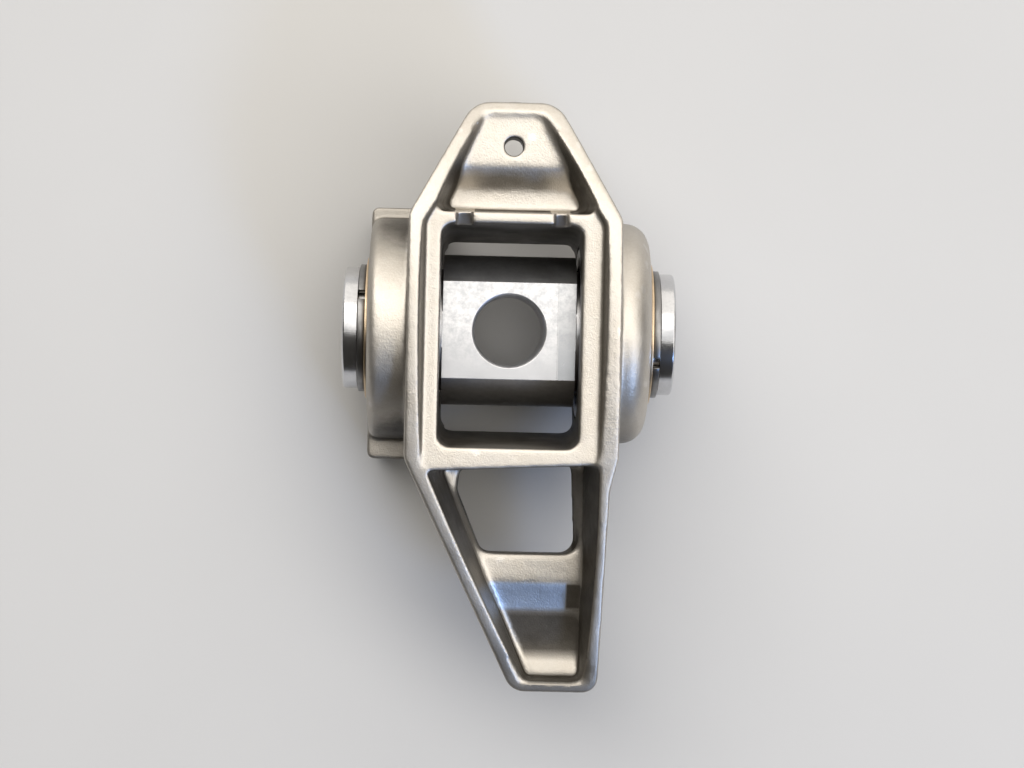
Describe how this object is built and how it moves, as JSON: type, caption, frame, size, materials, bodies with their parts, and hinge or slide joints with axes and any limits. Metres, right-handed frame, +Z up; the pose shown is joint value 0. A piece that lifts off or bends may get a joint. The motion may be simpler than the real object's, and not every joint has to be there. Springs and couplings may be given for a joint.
{
  "type": "roller rocker arm",
  "caption": "Cast steel rocker arm that swings on a needle-bearing trunnion, with a bolt hole through the trunnion, an oil basin and an offset valve tip.",
  "frame": {"origin": "where the trunnion's axis crosses the axis of its bolt hole", "axes": "+X along the trunnion's axis, away from the side with the square lug; +Y towards the pushrod end; +Z up through the bolt hole, out of the rim's side"},
  "size_m": [0.0386, 0.0683, 0.0281],
  "materials": {
    "cast_steel": "as-cast, blasted, satin",
    "ground_steel": "turned and ground, bright",
    "bearing_steel": "hardened and polished",
    "cage_steel": "pressed, dull",
    "thrust_bronze": "bronze, satin",
    "spring_steel": "stamped spring steel, oiled"
  },
  "bodies": {
    "rocker": {"rocker_body": "cast_steel", "bearing_cup_left": "bearing_steel", "bearing_cup_right": "bearing_steel"},
    "trunnion": {"trunnion": "ground_steel", "thrust_washer_left": "thrust_bronze", "thrust_washer_right": "thrust_bronze", "snap_ring_left": "spring_steel", "snap_ring_right": "spring_steel"},
    "cage_left": {"needle_cage_left": "cage_steel"},
    "needle_left_01_roll": {"needle_left_01": "bearing_steel"},
    "needle_left_02_roll": {"needle_left_02": "bearing_steel"},
    "needle_left_03_roll": {"needle_left_03": "bearing_steel"},
    "needle_left_04_roll": {"needle_left_04": "bearing_steel"},
    "needle_left_05_roll": {"needle_left_05": "bearing_steel"},
    "needle_left_06_roll": {"needle_left_06": "bearing_steel"},
    "needle_left_07_roll": {"needle_left_07": "bearing_steel"},
    "needle_left_08_roll": {"needle_left_08": "bearing_steel"},
    "needle_left_09_roll": {"needle_left_09": "bearing_steel"},
    "needle_left_10_roll": {"needle_left_10": "bearing_steel"},
    "needle_left_11_roll": {"needle_left_11": "bearing_steel"},
    "needle_left_12_roll": {"needle_left_12": "bearing_steel"},
    "needle_left_13_roll": {"needle_left_13": "bearing_steel"},
    "needle_left_14_roll": {"needle_left_14": "bearing_steel"},
    "needle_left_15_roll": {"needle_left_15": "bearing_steel"},
    "needle_left_16_roll": {"needle_left_16": "bearing_steel"},
    "needle_left_17_roll": {"needle_left_17": "bearing_steel"},
    "needle_left_18_roll": {"needle_left_18": "bearing_steel"},
    "cage_right": {"needle_cage_right": "cage_steel"},
    "needle_right_01_roll": {"needle_right_01": "bearing_steel"},
    "needle_right_02_roll": {"needle_right_02": "bearing_steel"},
    "needle_right_03_roll": {"needle_right_03": "bearing_steel"},
    "needle_right_04_roll": {"needle_right_04": "bearing_steel"},
    "needle_right_05_roll": {"needle_right_05": "bearing_steel"},
    "needle_right_06_roll": {"needle_right_06": "bearing_steel"},
    "needle_right_07_roll": {"needle_right_07": "bearing_steel"},
    "needle_right_08_roll": {"needle_right_08": "bearing_steel"},
    "needle_right_09_roll": {"needle_right_09": "bearing_steel"},
    "needle_right_10_roll": {"needle_right_10": "bearing_steel"},
    "needle_right_11_roll": {"needle_right_11": "bearing_steel"},
    "needle_right_12_roll": {"needle_right_12": "bearing_steel"},
    "needle_right_13_roll": {"needle_right_13": "bearing_steel"},
    "needle_right_14_roll": {"needle_right_14": "bearing_steel"},
    "needle_right_15_roll": {"needle_right_15": "bearing_steel"},
    "needle_right_16_roll": {"needle_right_16": "bearing_steel"},
    "needle_right_17_roll": {"needle_right_17": "bearing_steel"},
    "needle_right_18_roll": {"needle_right_18": "bearing_steel"}
  },
  "joints": [
    {"name": "trunnion_spin", "type": "hinge", "parent": "rocker", "child": "trunnion", "pos_m": [0, 0, 0], "axis": [1, 0, 0], "continuous": true},
    {"name": "cage_left_orbit", "type": "hinge", "parent": "rocker", "child": "cage_left", "pos_m": [-0.0121, 0, 0], "axis": [1, 0, 0], "continuous": true},
    {"name": "needle_left_01_spin", "type": "hinge", "parent": "cage_left", "child": "needle_left_01_roll", "pos_m": [-0.0121, 0.00803, 0.00142], "axis": [1, 0, 0], "continuous": true},
    {"name": "needle_left_02_spin", "type": "hinge", "parent": "cage_left", "child": "needle_left_02_roll", "pos_m": [-0.0121, 0.00706, 0.00407], "axis": [1, 0, 0], "continuous": true},
    {"name": "needle_left_03_spin", "type": "hinge", "parent": "cage_left", "child": "needle_left_03_roll", "pos_m": [-0.0121, 0.00524, 0.00624], "axis": [1, 0, 0], "continuous": true},
    {"name": "needle_left_04_spin", "type": "hinge", "parent": "cage_left", "child": "needle_left_04_roll", "pos_m": [-0.0121, 0.00279, 0.00766], "axis": [1, 0, 0], "continuous": true},
    {"name": "needle_left_05_spin", "type": "hinge", "parent": "cage_left", "child": "needle_left_05_roll", "pos_m": [-0.0121, 0, 0.00815], "axis": [1, 0, 0], "continuous": true},
    {"name": "needle_left_06_spin", "type": "hinge", "parent": "cage_left", "child": "needle_left_06_roll", "pos_m": [-0.0121, -0.00279, 0.00766], "axis": [1, 0, 0], "continuous": true},
    {"name": "needle_left_07_spin", "type": "hinge", "parent": "cage_left", "child": "needle_left_07_roll", "pos_m": [-0.0121, -0.00524, 0.00624], "axis": [1, 0, 0], "continuous": true},
    {"name": "needle_left_08_spin", "type": "hinge", "parent": "cage_left", "child": "needle_left_08_roll", "pos_m": [-0.0121, -0.00706, 0.00407], "axis": [1, 0, 0], "continuous": true},
    {"name": "needle_left_09_spin", "type": "hinge", "parent": "cage_left", "child": "needle_left_09_roll", "pos_m": [-0.0121, -0.00803, 0.00142], "axis": [1, 0, 0], "continuous": true},
    {"name": "needle_left_10_spin", "type": "hinge", "parent": "cage_left", "child": "needle_left_10_roll", "pos_m": [-0.0121, -0.00803, -0.00142], "axis": [1, 0, 0], "continuous": true},
    {"name": "needle_left_11_spin", "type": "hinge", "parent": "cage_left", "child": "needle_left_11_roll", "pos_m": [-0.0121, -0.00706, -0.00407], "axis": [1, 0, 0], "continuous": true},
    {"name": "needle_left_12_spin", "type": "hinge", "parent": "cage_left", "child": "needle_left_12_roll", "pos_m": [-0.0121, -0.00524, -0.00624], "axis": [1, 0, 0], "continuous": true},
    {"name": "needle_left_13_spin", "type": "hinge", "parent": "cage_left", "child": "needle_left_13_roll", "pos_m": [-0.0121, -0.00279, -0.00766], "axis": [1, 0, 0], "continuous": true},
    {"name": "needle_left_14_spin", "type": "hinge", "parent": "cage_left", "child": "needle_left_14_roll", "pos_m": [-0.0121, 0, -0.00815], "axis": [1, 0, 0], "continuous": true},
    {"name": "needle_left_15_spin", "type": "hinge", "parent": "cage_left", "child": "needle_left_15_roll", "pos_m": [-0.0121, 0.00279, -0.00766], "axis": [1, 0, 0], "continuous": true},
    {"name": "needle_left_16_spin", "type": "hinge", "parent": "cage_left", "child": "needle_left_16_roll", "pos_m": [-0.0121, 0.00524, -0.00624], "axis": [1, 0, 0], "continuous": true},
    {"name": "needle_left_17_spin", "type": "hinge", "parent": "cage_left", "child": "needle_left_17_roll", "pos_m": [-0.0121, 0.00706, -0.00407], "axis": [1, 0, 0], "continuous": true},
    {"name": "needle_left_18_spin", "type": "hinge", "parent": "cage_left", "child": "needle_left_18_roll", "pos_m": [-0.0121, 0.00803, -0.00142], "axis": [1, 0, 0], "continuous": true},
    {"name": "cage_right_orbit", "type": "hinge", "parent": "rocker", "child": "cage_right", "pos_m": [0.0121, 0, 0], "axis": [1, 0, 0], "continuous": true},
    {"name": "needle_right_01_spin", "type": "hinge", "parent": "cage_right", "child": "needle_right_01_roll", "pos_m": [0.0121, 0.00803, 0.00142], "axis": [1, 0, 0], "continuous": true},
    {"name": "needle_right_02_spin", "type": "hinge", "parent": "cage_right", "child": "needle_right_02_roll", "pos_m": [0.0121, 0.00706, 0.00407], "axis": [1, 0, 0], "continuous": true},
    {"name": "needle_right_03_spin", "type": "hinge", "parent": "cage_right", "child": "needle_right_03_roll", "pos_m": [0.0121, 0.00524, 0.00624], "axis": [1, 0, 0], "continuous": true},
    {"name": "needle_right_04_spin", "type": "hinge", "parent": "cage_right", "child": "needle_right_04_roll", "pos_m": [0.0121, 0.00279, 0.00766], "axis": [1, 0, 0], "continuous": true},
    {"name": "needle_right_05_spin", "type": "hinge", "parent": "cage_right", "child": "needle_right_05_roll", "pos_m": [0.0121, 0, 0.00815], "axis": [1, 0, 0], "continuous": true},
    {"name": "needle_right_06_spin", "type": "hinge", "parent": "cage_right", "child": "needle_right_06_roll", "pos_m": [0.0121, -0.00279, 0.00766], "axis": [1, 0, 0], "continuous": true},
    {"name": "needle_right_07_spin", "type": "hinge", "parent": "cage_right", "child": "needle_right_07_roll", "pos_m": [0.0121, -0.00524, 0.00624], "axis": [1, 0, 0], "continuous": true},
    {"name": "needle_right_08_spin", "type": "hinge", "parent": "cage_right", "child": "needle_right_08_roll", "pos_m": [0.0121, -0.00706, 0.00407], "axis": [1, 0, 0], "continuous": true},
    {"name": "needle_right_09_spin", "type": "hinge", "parent": "cage_right", "child": "needle_right_09_roll", "pos_m": [0.0121, -0.00803, 0.00142], "axis": [1, 0, 0], "continuous": true},
    {"name": "needle_right_10_spin", "type": "hinge", "parent": "cage_right", "child": "needle_right_10_roll", "pos_m": [0.0121, -0.00803, -0.00142], "axis": [1, 0, 0], "continuous": true},
    {"name": "needle_right_11_spin", "type": "hinge", "parent": "cage_right", "child": "needle_right_11_roll", "pos_m": [0.0121, -0.00706, -0.00407], "axis": [1, 0, 0], "continuous": true},
    {"name": "needle_right_12_spin", "type": "hinge", "parent": "cage_right", "child": "needle_right_12_roll", "pos_m": [0.0121, -0.00524, -0.00624], "axis": [1, 0, 0], "continuous": true},
    {"name": "needle_right_13_spin", "type": "hinge", "parent": "cage_right", "child": "needle_right_13_roll", "pos_m": [0.0121, -0.00279, -0.00766], "axis": [1, 0, 0], "continuous": true},
    {"name": "needle_right_14_spin", "type": "hinge", "parent": "cage_right", "child": "needle_right_14_roll", "pos_m": [0.0121, 0, -0.00815], "axis": [1, 0, 0], "continuous": true},
    {"name": "needle_right_15_spin", "type": "hinge", "parent": "cage_right", "child": "needle_right_15_roll", "pos_m": [0.0121, 0.00279, -0.00766], "axis": [1, 0, 0], "continuous": true},
    {"name": "needle_right_16_spin", "type": "hinge", "parent": "cage_right", "child": "needle_right_16_roll", "pos_m": [0.0121, 0.00524, -0.00624], "axis": [1, 0, 0], "continuous": true},
    {"name": "needle_right_17_spin", "type": "hinge", "parent": "cage_right", "child": "needle_right_17_roll", "pos_m": [0.0121, 0.00706, -0.00407], "axis": [1, 0, 0], "continuous": true},
    {"name": "needle_right_18_spin", "type": "hinge", "parent": "cage_right", "child": "needle_right_18_roll", "pos_m": [0.0121, 0.00803, -0.00142], "axis": [1, 0, 0], "continuous": true}
  ],
  "couplings": [
    {"joint": "cage_left_orbit", "follows": "trunnion_spin", "ratio": 0.43865},
    {"joint": "needle_left_01_spin", "follows": "trunnion_spin", "ratio": -4.0137},
    {"joint": "needle_left_02_spin", "follows": "trunnion_spin", "ratio": -4.0137},
    {"joint": "needle_left_03_spin", "follows": "trunnion_spin", "ratio": -4.0137},
    {"joint": "needle_left_04_spin", "follows": "trunnion_spin", "ratio": -4.0137},
    {"joint": "needle_left_05_spin", "follows": "trunnion_spin", "ratio": -4.0137},
    {"joint": "needle_left_06_spin", "follows": "trunnion_spin", "ratio": -4.0137},
    {"joint": "needle_left_07_spin", "follows": "trunnion_spin", "ratio": -4.0137},
    {"joint": "needle_left_08_spin", "follows": "trunnion_spin", "ratio": -4.0137},
    {"joint": "needle_left_09_spin", "follows": "trunnion_spin", "ratio": -4.0137},
    {"joint": "needle_left_10_spin", "follows": "trunnion_spin", "ratio": -4.0137},
    {"joint": "needle_left_11_spin", "follows": "trunnion_spin", "ratio": -4.0137},
    {"joint": "needle_left_12_spin", "follows": "trunnion_spin", "ratio": -4.0137},
    {"joint": "needle_left_13_spin", "follows": "trunnion_spin", "ratio": -4.0137},
    {"joint": "needle_left_14_spin", "follows": "trunnion_spin", "ratio": -4.0137},
    {"joint": "needle_left_15_spin", "follows": "trunnion_spin", "ratio": -4.0137},
    {"joint": "needle_left_16_spin", "follows": "trunnion_spin", "ratio": -4.0137},
    {"joint": "needle_left_17_spin", "follows": "trunnion_spin", "ratio": -4.0137},
    {"joint": "needle_left_18_spin", "follows": "trunnion_spin", "ratio": -4.0137},
    {"joint": "cage_right_orbit", "follows": "trunnion_spin", "ratio": 0.43865},
    {"joint": "needle_right_01_spin", "follows": "trunnion_spin", "ratio": -4.0137},
    {"joint": "needle_right_02_spin", "follows": "trunnion_spin", "ratio": -4.0137},
    {"joint": "needle_right_03_spin", "follows": "trunnion_spin", "ratio": -4.0137},
    {"joint": "needle_right_04_spin", "follows": "trunnion_spin", "ratio": -4.0137},
    {"joint": "needle_right_05_spin", "follows": "trunnion_spin", "ratio": -4.0137},
    {"joint": "needle_right_06_spin", "follows": "trunnion_spin", "ratio": -4.0137},
    {"joint": "needle_right_07_spin", "follows": "trunnion_spin", "ratio": -4.0137},
    {"joint": "needle_right_08_spin", "follows": "trunnion_spin", "ratio": -4.0137},
    {"joint": "needle_right_09_spin", "follows": "trunnion_spin", "ratio": -4.0137},
    {"joint": "needle_right_10_spin", "follows": "trunnion_spin", "ratio": -4.0137},
    {"joint": "needle_right_11_spin", "follows": "trunnion_spin", "ratio": -4.0137},
    {"joint": "needle_right_12_spin", "follows": "trunnion_spin", "ratio": -4.0137},
    {"joint": "needle_right_13_spin", "follows": "trunnion_spin", "ratio": -4.0137},
    {"joint": "needle_right_14_spin", "follows": "trunnion_spin", "ratio": -4.0137},
    {"joint": "needle_right_15_spin", "follows": "trunnion_spin", "ratio": -4.0137},
    {"joint": "needle_right_16_spin", "follows": "trunnion_spin", "ratio": -4.0137},
    {"joint": "needle_right_17_spin", "follows": "trunnion_spin", "ratio": -4.0137},
    {"joint": "needle_right_18_spin", "follows": "trunnion_spin", "ratio": -4.0137}
  ]
}
